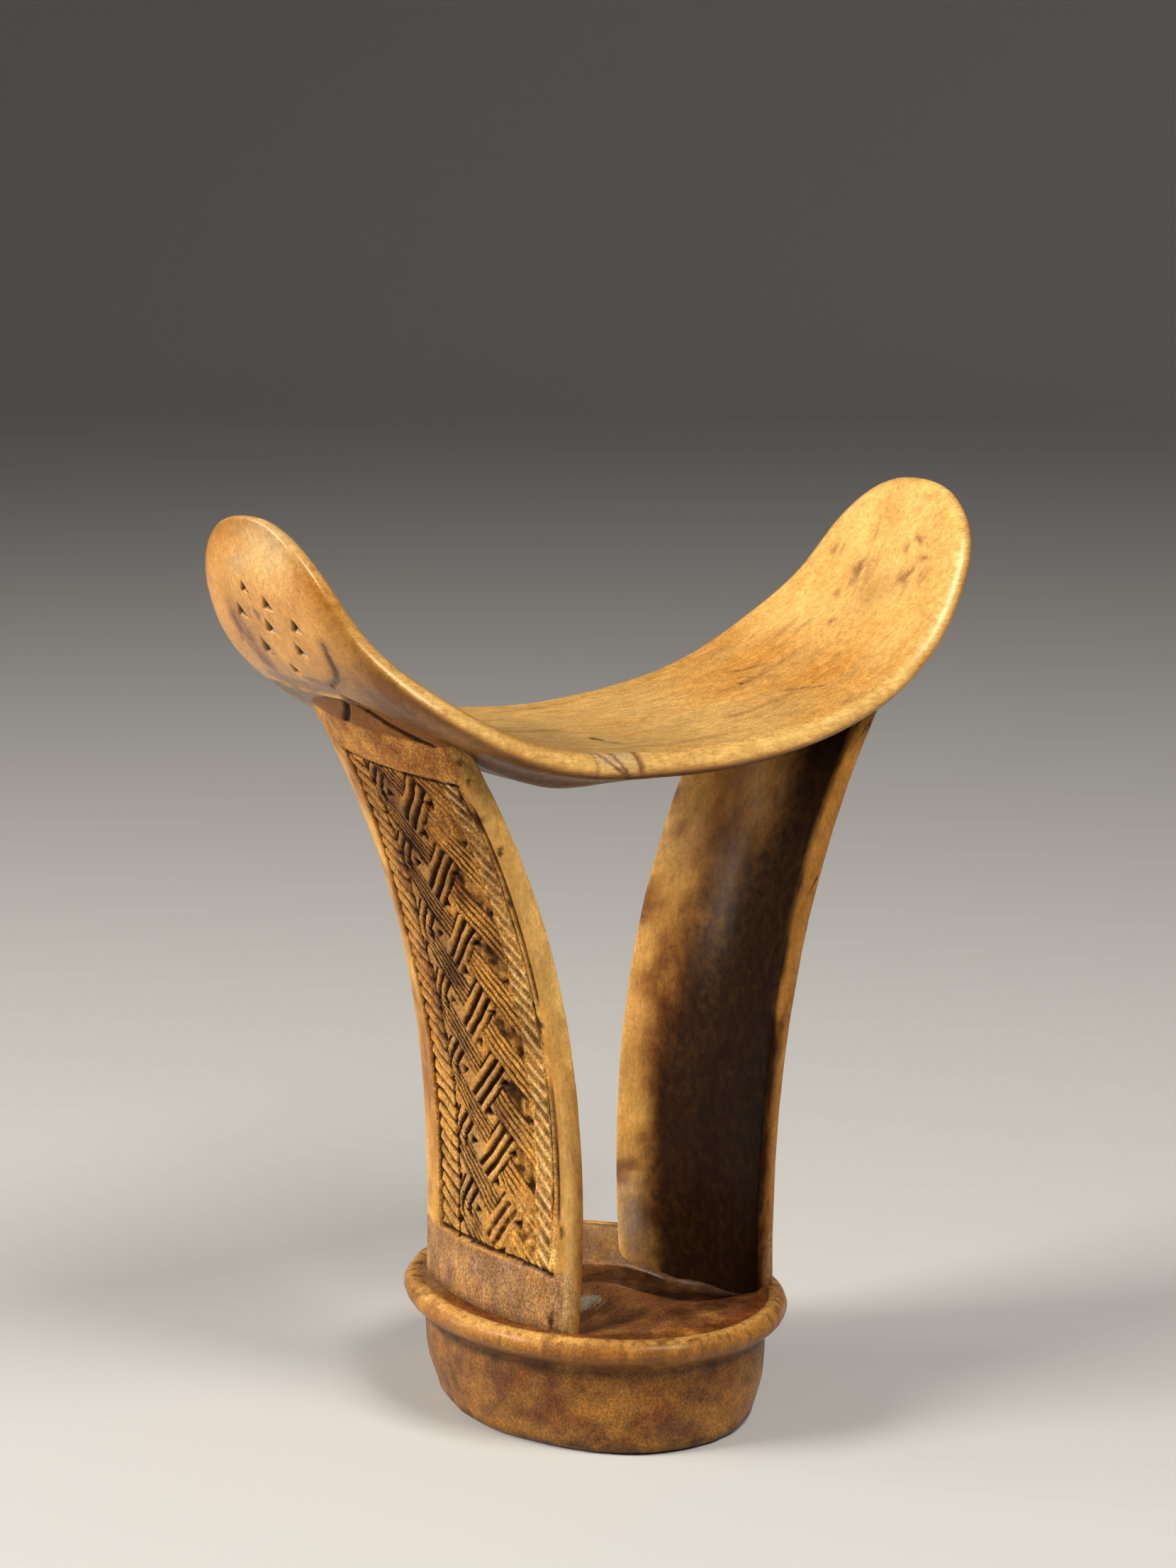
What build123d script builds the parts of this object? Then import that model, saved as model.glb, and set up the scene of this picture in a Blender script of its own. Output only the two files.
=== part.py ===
"""Carved wooden headrest: a curved neck rest on two flaring posts that stand on an oval base.

Frame: X runs along the neck rest, Y from front to back, Z up; the origin is the bottom centre
of the foot. The left side is -X. Millimetres.
"""

from build123d import *
import math
import os

# ---- driving dimensions ----------------------------------------------------------------------
REST_HALF_ARC = 100.0       # saddle centre to a tip, measured along the middle line
REST_SLOPES = (0, 6.5, 18.5, 34.5, 59, 69)  # degrees, at equal steps from the centre to a tip
REST_WIDTH = 63.0
REST_THICKNESS = 5.0        # the front and back edges are rounded over all of it
SADDLE_Z = 132.6            # middle line of the rest at its centre
TONGUE_ALONG = 2.75         # roundness of the tongue-shaped ends, along and across
TONGUE_ACROSS = 2.35

POST_THICKNESS = 4.4
POST_BOW = 5.0              # how far a post's middle bulges outward from its two edges
POST_FOOT_X = 23.5          # edge line of a post at the reference height
POST_FOOT_WIDTH = 45.6
POST_REF_Z = 25.0
POST_SPAN = 83.3            # height over which the flare and the width are stated
POST_FLARE = (-3.9, 9.2, 5.5)
POST_WIDENING = (4.5, -4.3)
POST_EDGE_ROUND = 1.1
POST_TOP_REACH = 14.0       # how far above the saddle centre a post runs before it is trimmed
POST_SECTIONS = 7

FOOT_RX = 27.6              # the flat that the headrest stands on
FOOT_ROUND = 2.6
FOOT_SPARE = 1.0            # wood below the foot that the flat cut takes away
BASE_DEPTH_RATIO = 1.12     # front-to-back size of the base over its left-to-right size
BEAD_RADIUS = 2.4
BEAD_RX = 33.8              # centre line of the rounded rim
BEAD_Z = 22.0
DRUM_TOP_RX = 32.8          # where the drum meets the groove under the rim
LEDGE_RX = 31.0
LEDGE_Z = 22.8
DISH_RX = 22.0
DISH_Z = 18.2
MOUND_RX = 13.0
MOUND_Z = 21.2

LINE_STEPS = 4000           # steps in which the rest's middle line is traced
REST_STATIONS = (0, 0.2, 0.4, 0.6, 0.75, 0.85, 0.92, 0.965, 0.985, 0.997)  # fractions of half the line


def rest_slope(fraction):
    """Slope in radians at a fraction of the way to a tip: the middle line is tangent arcs."""
    place = fraction * (len(REST_SLOPES) - 1)
    arc = min(int(place), len(REST_SLOPES) - 2)
    turned = (place - arc) * (REST_SLOPES[arc + 1] - REST_SLOPES[arc])
    return math.radians(REST_SLOPES[arc] + turned)


def rest_line():
    """X and Z along the middle line of the right half, from the saddle centre to the tip."""
    step = REST_HALF_ARC / LINE_STEPS
    line = [(0.0, SADDLE_Z)]
    for i in range(LINE_STEPS):
        slope = rest_slope((i + 0.5) / LINE_STEPS)
        x, z = line[-1]
        line.append((x + step * math.cos(slope), z + step * math.sin(slope)))
    return line


def tongue_half_width(fraction):
    """Half width of the rest a fraction of the way along the curve to a tip."""
    return REST_WIDTH / 2 * (1 - abs(fraction) ** TONGUE_ALONG) ** (1 / TONGUE_ACROSS)


def rest_section(fraction, line):
    """Cut square across the rest: a flat bar with fully rounded front and back edges."""
    x, z = line[round(abs(fraction) * LINE_STEPS)]
    slope = math.copysign(rest_slope(abs(fraction)), fraction)
    half = tongue_half_width(fraction)
    round_off = REST_THICKNESS / 2
    flat = half - round_off
    outline = [
        Line((-flat, -round_off), (flat, -round_off)),
        ThreePointArc((flat, -round_off), (half, 0), (flat, round_off)),
        Line((flat, round_off), (-flat, round_off)),
        ThreePointArc((-flat, round_off), (-half, 0), (-flat, -round_off)),
    ]
    along = (math.cos(slope), 0, math.sin(slope))
    origin = (math.copysign(x, fraction), 0, z)
    return Plane(origin=origin, x_dir=(0, 1, 0), z_dir=along) * make_face(outline)


def neck_rest():
    """The curved plate that carries the neck, from the left tip to the right one."""
    line = rest_line()
    fractions = [-f for f in REST_STATIONS[:0:-1]] + list(REST_STATIONS)
    return loft([rest_section(fraction, line) for fraction in fractions])


def post_edge_x(height):
    """Distance of a post's edge line from the middle plane."""
    q = (height - POST_REF_Z) / POST_SPAN
    return POST_FOOT_X + sum(c * q ** (i + 1) for i, c in enumerate(POST_FLARE))


def post_width(height):
    """Front-to-back width of a post."""
    q = (height - POST_REF_Z) / POST_SPAN
    return POST_FOOT_WIDTH + sum(c * q ** (i + 1) for i, c in enumerate(POST_WIDENING))


def post_section(height):
    """Level cut through the right post: a bowed strip with parallel faces and rounded edges."""
    x = post_edge_x(height)
    half = post_width(height) / 2
    inner, outer = x - POST_THICKNESS / 2, x + POST_THICKNESS / 2
    edge_half = half - POST_EDGE_ROUND
    outline = [
        ThreePointArc((outer, -edge_half), (outer + POST_BOW, 0), (outer, edge_half)),
        ThreePointArc((outer, edge_half), (x, half), (inner, edge_half)),
        ThreePointArc((inner, edge_half), (inner + POST_BOW, 0), (inner, -edge_half)),
        ThreePointArc((inner, -edge_half), (x, -half), (outer, -edge_half)),
    ]
    return Pos(0, 0, height) * make_face(outline)


def right_post(base_solid, rest_solid):
    """One flaring post, trimmed to the base below it and to the neck rest above it."""
    low = DISH_Z - 2
    high = SADDLE_Z + POST_TOP_REACH
    heights = [low + (high - low) * i / (POST_SECTIONS - 1) for i in range(POST_SECTIONS)]
    stave = loft([post_section(height) for height in heights])
    trimmed = stave - base_solid - rest_solid
    return trimmed.solids().sort_by(SortBy.VOLUME)[-1]


def base_profile():
    """Half section of the base, drawn at its left-to-right size."""
    foot_side = Vector(FOOT_RX + FOOT_ROUND, 0, FOOT_ROUND)
    drum_top = Vector(DRUM_TOP_RX, 0, BEAD_Z - BEAD_RADIUS * 0.8)
    bead_in = Vector(BEAD_RX - BEAD_RADIUS * 0.8, 0, BEAD_Z + BEAD_RADIUS * 0.6)
    outline = [
        Line((0, 0, -FOOT_SPARE), (FOOT_RX, 0, -FOOT_SPARE)),
        Line((FOOT_RX, 0, -FOOT_SPARE), (FOOT_RX, 0, 0)),
        ThreePointArc((FOOT_RX, 0, 0), (FOOT_RX + FOOT_ROUND * 0.72, 0, FOOT_ROUND * 0.3), foot_side),
        Line(foot_side, drum_top),
        ThreePointArc(drum_top, (BEAD_RX + BEAD_RADIUS, 0, BEAD_Z), bead_in),
        Spline(bead_in, (LEDGE_RX, 0, LEDGE_Z), (DISH_RX, 0, DISH_Z), (MOUND_RX, 0, MOUND_Z - 1), (0, 0, MOUND_Z)),
        Line((0, 0, MOUND_Z), (0, 0, -FOOT_SPARE)),
    ]
    return make_face(outline)


def base():
    """Oval drum with a narrower foot, a rounded rim and a dished top with a low mound."""
    turned = revolve(base_profile(), Axis.Z)
    oval = scale(turned, by=(1, BASE_DEPTH_RATIO, 1))
    above_floor = Pos(0, 0, SADDLE_Z / 2) * Box(2 * REST_HALF_ARC, 2 * REST_HALF_ARC, SADDLE_Z)
    return oval & above_floor


def write(name, solid):
    """Write one sub-part under its node name."""
    solid.label = name
    export_step(solid, f"parts/{name}.step")
    box = solid.bounding_box()
    print(f"{name:12s} {solid.volume:9.0f} mm3  {box.min}  {box.max}")


os.makedirs("parts", exist_ok=True)
base_solid = base()
rest_solid = neck_rest()
post_solid = right_post(base_solid, rest_solid)
write("base", base_solid)
write("neck_rest", rest_solid)
write("right_post", post_solid)
write("left_post", mirror(post_solid, about=Plane.YZ))
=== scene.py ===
"""Visual model of the carved headrest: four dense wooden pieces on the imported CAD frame.

The pieces are modelled in millimetres in the row frame (X along the rest, -Y to the front, Z up)
and turned into metres when a mesh is made.
"""

import math

import bpy
import numpy as np
from mathutils import Matrix


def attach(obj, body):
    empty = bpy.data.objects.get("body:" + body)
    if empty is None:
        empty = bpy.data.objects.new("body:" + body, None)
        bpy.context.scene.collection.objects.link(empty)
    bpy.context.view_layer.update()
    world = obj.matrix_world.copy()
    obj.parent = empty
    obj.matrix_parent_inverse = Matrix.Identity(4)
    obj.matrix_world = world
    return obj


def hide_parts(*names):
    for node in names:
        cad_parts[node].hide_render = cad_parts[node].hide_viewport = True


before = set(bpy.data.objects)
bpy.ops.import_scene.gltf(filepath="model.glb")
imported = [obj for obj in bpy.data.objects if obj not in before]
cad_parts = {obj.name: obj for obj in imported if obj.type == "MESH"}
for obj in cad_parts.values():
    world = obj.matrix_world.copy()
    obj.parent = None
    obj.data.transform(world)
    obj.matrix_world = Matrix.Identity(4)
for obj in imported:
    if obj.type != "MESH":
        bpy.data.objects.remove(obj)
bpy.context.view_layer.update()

MM = 0.001
COUNTERS = ("score_line",)  # masks that count lines; all others run from 0 to 1

# ---- neck rest ----
LEFT_ARC, RIGHT_ARC = 101.1, 99.1   # saddle centre to each tip, along the middle line
REST_SLOPES = (-69.6, -60.6, -34.5, -20.7, -5.1, 0.2, 8.3, 16.3, 34.5, 57.8, 67.7)  # degrees, tip to tip
REST_HALF_WIDTH = 32.5
REST_THICKNESS = 5.2
TOP_ROUND = 2.9             # how far in the edge starts to turn, above and below
UNDER_ROUND = 5.5
TOP_BREAK = 0.42            # radians by which the top face breaks over into the edge
UNDER_ROUND_MORE = 3.0      # what the left end has on top of that
EDGE_LIFT = -0.5            # height of the edge's widest line over the middle of the plate
SADDLE_Z = 132.6
TONGUE_ALONG = 2.75
TONGUE_ACROSS = 2.35
WIDTH_PLACES = (-0.98, -0.92, -0.8, -0.6, -0.35, 0, 0.35, 0.6, 0.8, 0.92, 0.98)
FRONT_WIDTHS = (0.89, 0.89, 0.86, 1.06, 0.98, 0.967, 0.967, 0.94, 0.99, 1.08, 1.08)
BACK_WIDTHS = (1.11, 1.11, 1.05, 0.94, 1.09, 0.964, 0.93, 0.99, 0.93, 0.99, 0.99)
BELLY_DROP = 1.3            # how much lower the underside hangs between the posts
BELLY_ARCH = 1.2            # and how much more of it beside each post
BELLY_ARCH_X = 27.0
BELLY_ARCH_SPREAD = 10.0
BELLY_HALF_WIDTH = 22.5

# places on the rest, along the curve from the saddle's centre and along Y
CHIPS = (
    (-88.4, 4.2, 1.6), (-85.8, -1.8, 2.0), (-83.0, 9.1, 2.1), (-80.8, 0.8, 2.3),
    (-81.9, -8.1, 2.0), (-75.6, 6.6, 2.7), (-76.7, -5.5, 2.2), (-71.5, 1.6, 1.9),
)
CRACK = ((-79.4, -14.6), (-76.5, -14.3), (-73.6, -13.5), (-71.3, -11.4), (-68.6, -6.5))
WEDGE_LINE = ((-63.2, 17.0), (-63.5, 5.5), (-64.6, -5.0))
WEDGE_SHADE = ((-66.5, 16.0), (-66.0, 4.0), (-67.6, -5.0))
FOLD = ((-64.6, -5.6), (-60.5, -10.0), (-57.5, -16.0), (-55.5, -21.5))
PUNCH = (37.2, 1.9)
EYE = (-10.6, -14.2)        # a small open knot on top
EYE_HALF = (0.95, 4.4)
CHECKS = (
    ((39.2, 10.6), (42.5, 7.6), (46.3, 5.0)),
    ((39.0, 5.5), (39.7, 1.7)),
    ((37.3, -10.4), (43.0, -16.1)),
)
KNOT_LEFT, KNOT_RIGHT = -25.2, -15.4
NICK = (34.9, 29.2)
RIGHT_SPOTS = (             # two places, two sizes
    (80.9, 12.5, 1.8, 2.0), (79.1, 3.3, 2.1, 1.7), (76.6, 3.1, 1.3, 2.4), (73.8, 4.6, 1.2, 1.9),
    (85.4, 4.0, 1.9, 1.0), (85.6, -8.7, 1.0, 3.0), (83.2, -7.7, 1.2, 1.3), (81.8, -12.7, 1.0, 1.7),
    (78.4, -12.1, 2.0, 2.7), (76.6, -11.7, 1.3, 2.7), (75.0, -14.7, 1.0, 1.3),
    (69.8, -17.5, 1.5, 1.8), (70.4, 6.3, 0.8, 1.1), (63.4, 1.8, 0.9, 1.0), (75.5, -24.0, 1.0, 0.8),
    (53.9, -9.2, 0.9, 1.4),
)
LEFT_SMUDGES = (
    (-83.6, 1.9, 1.6, 2.6), (-80.4, 13.4, 2.6, 1.6), (-77.4, 12.4, 2.4, 1.8),
    (-71.8, 12.0, 2.6, 2.0), (-75.0, 14.5, 2.0, 1.6), (-69.4, -1.0, 0.9, 2.6),
)

# ---- posts ----
POST_THICKNESS = 4.4
POST_BOW = 5.0
POST_FOOT_X = 23.5
POST_FOOT_WIDTH = 45.6
POST_REF_Z = 25.0
POST_SPAN = 83.3
POST_FLARE = (-3.9, 9.2, 5.5)
POST_WIDENING = (4.5, -4.3)
POST_EDGE_ROUND = 1.1
POST_SHIFTS = {-1: -0.3, 1: 0.6}  # how far each post stands outward of its place
INNER_ROOT_Z = 13.0         # both faces of a post start inside the base
OUTER_ROOT_Z = 21.5
FACE_WIDTH = 45.0           # the carving is laid out on a face this wide, from the back edge
POST_ROWS = 400             # rings of points from a post's root to its top

# ---- carving on the outer face of a post ----
LACE_ANGLE = math.radians(49.5)
LACE_COS, LACE_SIN = math.cos(LACE_ANGLE), math.sin(LACE_ANGLE)
LACE_PERIOD = 13.8
LACE_GAP = LACE_PERIOD * LACE_COS   # between the middle lines of two strands
LACE_START_Z = 57.1         # the lowest crossing on the middle column
LACE_CENTRE = 27.4
BORDER_LOOP = 2.0           # how round the strands turn at the left border
BAR_CUTS = (0.64, -1.38)    # grooves between the three bars of a rising strand, from its middle line
BAR_HIGH, BAR_LOW = 2.3, -3.0
BAR_REACH = 5.5             # half the length of the bars, measured across the falling strands
BROAD_CUTS = (-2.9, -1.5, -0.1, 1.3, 2.6)
LOOP_CUTS = (-2.6, -0.64, 1.38)
SCORE_PITCH = 1.15          # between the fine lines on the falling strands
FIELD_PITS = (              # three-cornered pits of one repeat: across, up, size, how it is turned
    (4.6, 0.5, 1.25, 0.2), (-0.2, -6.1, 1.35, 2.4), (-6.1, 0.9, 1.2, 1.0),
    (-11.0, -0.9, 0.9, 0.5), (9.7, -6.5, 0.9, 1.8),
)
FIELD_LOW_Z = 36.6
FIELD_HIGH_Z = 133.2
# four lines down the face: heights, and distances from the back edge there
FIRST_LINE = ((36, 60, 76, 86, 96, 109, 119, 129), (8.9, 8.9, 8.2, 6.6, 5.2, 6.1, 8, 10))
SECOND_LINE = ((36, 60, 76, 86, 96, 106, 119, 134), (16.9, 16.9, 15.7, 15, 14.4, 15, 16.3, 17.4))
THIRD_LINE_A = 38.4
FOURTH_LINE = ((36, 46, 60, 134), (41.4, 41.9, 42.1, 41.8))
LEFT_HATCH_PITCH, LEFT_HATCH_SLOPE = 2.85, 0.43
RIGHT_HATCH_PITCH, RIGHT_HATCH_SLOPE = 3.1, 1.25
COLLAR_Z = 141.2            # lower edge of the smooth collar, and how it slopes to the front
COLLAR_SLOPE = -0.08
COLLAR_SLOT = ((26.8, 147.4), (23.8, 143.8), (20.3, 141.2))
COLLAR_CREASE = ((27.0, 146.9), (30.2, 145.0), (34.2, 142.4), (37.8, 140.7), (41.4, 139.2))

# ---- base ----
FOOT_RX, FOOT_RY = 28.4, 35.0
FOOT_ROUND = 2.6
DRUM_HEIGHTS = (2.8, 8, 13, 16.5, 18.3, 19.9)     # from the foot's rounding up to the rim
DRUM_RX = (28.5, 30.2, 31.2, 31.5, 32.2, 34.7)
DRUM_RY = (35.0, 36.2, 36.6, 36.5, 37.0, 39.2)
BEAD_RX, BEAD_RY = 33.5, 38.0
BEAD_RADIUS = 2.4
BEAD_Z = 22.1
UNDER_RINGS = 14
BASE_SHIFT = -0.7           # the turned rim stands a little to the left
RIM_Z = BEAD_Z + BEAD_RADIUS
BASE_AROUND = 480           # points in each ring
# heights along Y in the hollowed top: down the ridge in the middle and down the scoops beside it
RIDGE = ((-37, -30, -20, -9, 3, 12, 20, 40), (24.2, 24.3, 24.2, 23.6, 22.0, 18.8, 16.4, 15.8))
SCOOP = ((-37, -23, -11.6, -2, 5, 13, 18, 40), (24.2, 23.6, 18.9, 16.4, 15.5, 15.9, 16.4, 16.0))


# ---- small mathematics ----
def unit(x):
    """x, kept from 0 to 1."""
    return np.clip(x, 0, 1)


def ramp(low, high, x):
    """0 below low, 1 above high, with a soft turn at both."""
    t = unit((x - low) / (high - low))
    return t * t * (3 - 2 * t)


def window(x, low, inner_low, inner_high, high):
    """1 from inner_low to inner_high, falling softly to 0 at low and at high."""
    return ramp(low, inner_low, x) * ramp(high, inner_high, x)


def mix(first, second, share):
    """first where share is 0, second where it is 1."""
    return first * (1 - share) + second * share


def hermite(knots, values, x):
    """Smooth curve through the values at the knots."""
    knots = np.asarray(knots, float)
    values = np.asarray(values, float)
    tangents = np.gradient(values, knots)
    x = np.clip(x, knots[0], knots[-1])
    i = np.clip(np.searchsorted(knots, x) - 1, 0, len(knots) - 2)
    width = knots[i + 1] - knots[i]
    t = (x - knots[i]) / width
    rise = t * t * (3 - 2 * t)
    start = t * (1 - t) ** 2 * width * tangents[i]
    end = t * t * (t - 1) * width * tangents[i + 1]
    return values[i] * (1 - rise) + values[i + 1] * rise + start + end


def hashed(cell, seed):
    """A repeatable number from -1 to 1 for each row of whole numbers."""
    h = cell[:, 0] * 73856093 ^ cell[:, 1] * 19349663 ^ cell[:, 2] * 83492791 ^ seed * 40503
    h = (h ^ (h >> 13)) * 1274126177 & 0x7FFFFFFF
    h = (h ^ (h >> 15)) * 668265263 & 0x7FFFFFFF
    return (h & 0xFFFF) / 32767.5 - 1


def noise(points, size, seed):
    """Smooth noise in -1..1 with features about size apart. size is a number or one for each axis."""
    scaled = np.asarray(points, float) / size
    cell = np.floor(scaled).astype(np.int64)
    f = scaled - cell
    f = f * f * (3 - 2 * f)
    total = np.zeros(len(scaled))
    for dx in (0, 1):
        for dy in (0, 1):
            for dz in (0, 1):
                weight = (f[:, 0] if dx else 1 - f[:, 0]) * (f[:, 1] if dy else 1 - f[:, 1])
                weight = weight * (f[:, 2] if dz else 1 - f[:, 2])
                total += weight * hashed(cell + np.array([dx, dy, dz]), seed)
    return total


def fractal(points, size, seed, octaves=3):
    """Noise with finer noise added to it, still about -1..1."""
    size = np.asarray(size, float)
    total = sum(noise(points, size / 2 ** k, seed + 17 * k) * 0.55 ** k for k in range(octaves))
    return total * 0.8


def column(*values):
    """Columns of numbers side by side, numbers and arrays alike."""
    return np.stack(np.broadcast_arrays(*values), axis=-1).reshape(-1, len(values)).astype(float)


def blob(x, y, centre, size):
    """1 at the centre, falling softly to 0 about size away."""
    return np.exp(-(((x - centre[0]) / size[0]) ** 2 + ((y - centre[1]) / size[1]) ** 2))


def blobs(x, y, rows):
    """1 on any of several blobs. A row is two places and two sizes."""
    return unit(sum(blob(x, y, row[:2], row[2:]) for row in rows))


def spread(places, steps, count):
    """So many of the places, with the same length of the steps between them."""
    walked = np.concatenate([[0], np.cumsum(steps)])
    return np.interp(np.linspace(0, walked[-1], count), walked, places)


def stroke(d, width):
    """1 in the middle of a cut line, 0 outside it."""
    return 1 - ramp(width * 0.25, width * 0.62, np.abs(d))


def every(d, pitch):
    """Distance to the nearest of evenly spaced lines."""
    return (d / pitch - np.round(d / pitch)) * pitch


# ---- meshes ----
def tube_quads(rings, around):
    """Faces of a tube made of closed rings, each with the same number of points."""
    ring, place = np.meshgrid(np.arange(rings - 1), np.arange(around), indexing="ij")
    after = (place + 1) % around
    low, high = ring * around, (ring + 1) * around
    quads = np.stack([low + place, low + after, high + after, high + place], axis=-1)
    return quads.reshape(-1, 4).tolist()


def add_object(name, data):
    """A new object in the scene."""
    made = bpy.data.objects.new(name, data)
    bpy.context.scene.collection.objects.link(made)
    return made


def make_piece(name, points, faces, node, material, masks):
    """A closed mesh that stands for one CAD node. masks are named numbers, one for each point."""
    mesh = bpy.data.meshes.new(name)
    mesh.from_pydata((points * MM).tolist(), [], faces)
    mesh.validate()
    mesh.shade_smooth()
    for mask, values in masks.items():
        attribute = mesh.attributes.new(mask, "FLOAT", "POINT")
        values = values if mask in COUNTERS else unit(values)
        attribute.data.foreach_set("value", values.astype(np.float32))
    mesh.materials.append(material)
    piece = add_object(name, mesh)
    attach(piece, "root")
    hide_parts(node)
    return piece


# ---- neck rest ----
def rest_line():
    """Tables of place along the middle line, X, Z and slope, from the left tip to the right one."""
    s = np.linspace(-1, 1, 4001)
    slope = np.radians(hermite(np.linspace(-1, 1, len(REST_SLOPES)), REST_SLOPES, s))
    s = s * np.where(s < 0, LEFT_ARC, RIGHT_ARC)
    step = np.diff(s)
    x = np.concatenate([[0], np.cumsum(step * np.cos((slope[1:] + slope[:-1]) / 2))])
    z = np.concatenate([[0], np.cumsum(step * np.sin((slope[1:] + slope[:-1]) / 2))])
    middle = len(s) // 2
    return s, x - x[middle], z - z[middle] + SADDLE_Z, slope


LINE_S, LINE_X, LINE_Z, LINE_SLOPE = rest_line()


def rest_middle_z(x):
    """Height of the rest's middle line at a distance along X."""
    return np.interp(x, LINE_X, LINE_Z)


def rest_outline(s, side):
    """Y of the front (side -1) or back (side 1) edge of the rest at a place on the middle line."""
    fraction = np.clip(s / np.where(s < 0, LEFT_ARC, RIGHT_ARC), -1, 1)
    half = REST_HALF_WIDTH * (1 - np.abs(fraction) ** TONGUE_ALONG) ** (1 / TONGUE_ACROSS)
    return side * half * hermite(WIDTH_PLACES, FRONT_WIDTHS if side < 0 else BACK_WIDTHS, fraction)


def rest_stations(count):
    """Places along the rest, closer together at the tips and where the underside is chipped."""
    t = np.linspace(0, math.pi, 6001)[1:-1]
    s = -np.sign(np.cos(t)) * np.abs(np.cos(t)) ** (2 / TONGUE_ALONG)
    s = s * np.where(s < 0, LEFT_ARC, RIGHT_ARC)
    step = np.hypot(np.diff(s), np.diff(rest_outline(s, -1)))
    density = 1 + 1.3 * (ramp(-95, -88, s) - ramp(-45, -36, s))
    return spread(s, step * density[1:], count)


def edge_rows(s, side, count):
    """Place, Y and height of the points round one edge, from the top face to the underside."""
    fine = 0.02
    ahead = np.clip(s + fine, -LEFT_ARC, RIGHT_ARC)
    behind = np.clip(s - fine, -LEFT_ARC, RIGHT_ARC)
    along = ahead - behind
    across = rest_outline(ahead, side) - rest_outline(behind, side)
    length = np.hypot(along, across)
    in_s, in_y = (side * across / length)[:, None], (-side * along / length)[:, None]
    y = rest_outline(s, side)[:, None]
    under = UNDER_ROUND + UNDER_ROUND_MORE * ramp(-70, -92, s)[:, None]
    share = np.linspace(0, 1, count)
    upper = share < 0.5
    turn = np.where(upper, TOP_BREAK + (math.pi / 2 - TOP_BREAK) * 2 * share, math.pi * share)
    upper_inset = TOP_ROUND * (1 - np.sin(turn)) / (1 - math.sin(TOP_BREAK))
    inset = np.where(upper, upper_inset, under * (1 - np.sin(turn)))
    half = REST_THICKNESS / 2
    upper_height = (half - EDGE_LIFT) * np.cos(turn) / math.cos(TOP_BREAK)
    height = EDGE_LIFT + np.where(upper, upper_height, (half + EDGE_LIFT) * np.cos(turn))
    inset_y = side * np.maximum(side * (y + in_y * inset), 0.02 * np.abs(y))
    return s[:, None] + in_s * inset, inset_y, np.broadcast_to(height, inset.shape)


def rest_piece(material):
    """The polished neck rest with its hand-cut underside."""
    rings, top_count, under_count, edge_count = 372, 104, 112, 21
    s = rest_stations(rings)
    front = edge_rows(s, -1, edge_count)
    back = [part[:, ::-1] for part in edge_rows(s, 1, edge_count)]

    def between(first, last, count):
        """Points strictly between the last point of one edge and the first of the next."""
        share = np.linspace(0, 1, count + 2)[1:-1]
        return [a[:, -1:] * (1 - share) + b[:, :1] * share for a, b in zip(first, last)]

    parts = [between(back, front, top_count), front, between(front, back, under_count), back]
    place_s, place_y, lift = (np.concatenate([part[i] for part in parts], axis=1) for i in range(3))
    around = place_s.shape[1]
    place_s, place_y, lift = place_s.ravel(), place_y.ravel(), lift.ravel()
    lift, masks = rest_relief(place_s, place_y, lift)
    x = np.interp(place_s, LINE_S, LINE_X)
    z = np.interp(place_s, LINE_S, LINE_Z)
    slope = np.interp(place_s, LINE_S, LINE_SLOPE)
    points = column(x - np.sin(slope) * lift, place_y, z + np.cos(slope) * lift)
    faces = tube_quads(rings, around)
    faces += slit_cap(0, top_count, edge_count, around, False)
    faces += slit_cap((rings - 1) * around, top_count, edge_count, around, True)
    return make_piece("neck_rest_carved", points, faces, "neck_rest", material, masks)


def slit_cap(first, top_count, edge_count, around, flip):
    """Closes the nearly flat ring at a tip: the top, the two edges, then the underside."""
    top = list(range(first, first + top_count))
    front = list(range(first + top_count, first + top_count + edge_count))
    under = list(range(first + top_count + edge_count, first + around - edge_count))
    back = list(range(first + around - edge_count, first + around))[::-1]
    faces = [top + [front[0], back[0]]]
    faces += [[front[i], front[i + 1], back[i + 1], back[i]] for i in range(edge_count - 1)]
    faces += [[front[-1]] + under + [back[-1]]]
    return [face[::-1] for face in faces] if not flip else faces


def dash(x, y, start, end, width):
    """1 on a straight stroke between two places, falling to 0 across its width."""
    start, end = np.array(start, float), np.array(end, float)
    along = end - start
    share = unit(((x - start[0]) * along[0] + (y - start[1]) * along[1]) / (along @ along))
    distance = np.hypot(x - start[0] - share * along[0], y - start[1] - share * along[1])
    return 1 - ramp(0.25 * width, 0.75 * width, distance)


def polyline(x, y, places, width):
    """1 on a line through the places."""
    lines = [dash(x, y, a, b, width) for a, b in zip(places, places[1:])]
    return np.max(lines, axis=0)


def chip(s, y, place, size):
    """1 in the deepest corner of a three-sided knife chip, 0 outside it."""
    ds, dy = s - place[0], y - place[1]
    sides = [ds * math.cos(t) + dy * math.sin(t) for t in (0.15, 2.05, 4.15)]
    return unit(1.25 - np.max(sides, axis=0) / (0.42 * size))


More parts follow.
